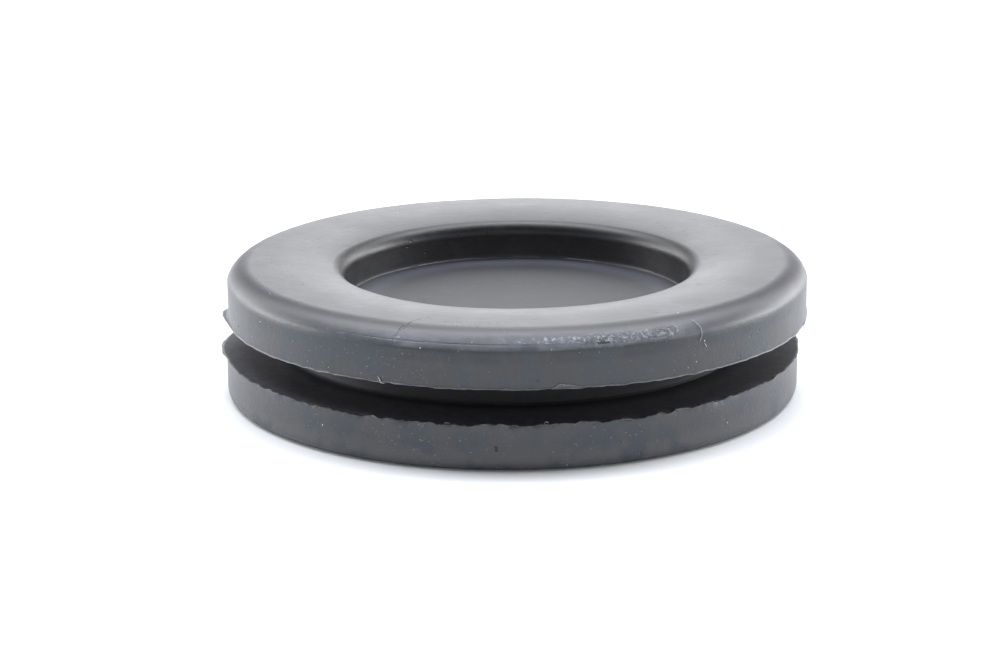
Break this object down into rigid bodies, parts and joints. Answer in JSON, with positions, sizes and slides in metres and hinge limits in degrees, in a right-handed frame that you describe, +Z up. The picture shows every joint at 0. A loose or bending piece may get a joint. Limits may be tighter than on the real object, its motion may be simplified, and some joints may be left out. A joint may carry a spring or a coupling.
{
  "type": "rubber grommet",
  "caption": "Round closed rubber grommet with a panel groove between its flanges and a membrane across its bore, for lining or closing a hole in sheet metal.",
  "frame": {"origin": "centre of the lower flange's resting face, on the bore's axis", "axes": "+Z up along the bore's axis, from the lower flange to the upper one; the section is the same all round, so +X and +Y are free, and the flange side that shows most is -Y"},
  "size_m": [0.032, 0.032, 0.0073],
  "materials": {
    "rubber": "moulded, dull sheen, light bloom and dust"
  },
  "bodies": {
    "root": {"grommet": "rubber"}
  },
  "joints": []
}
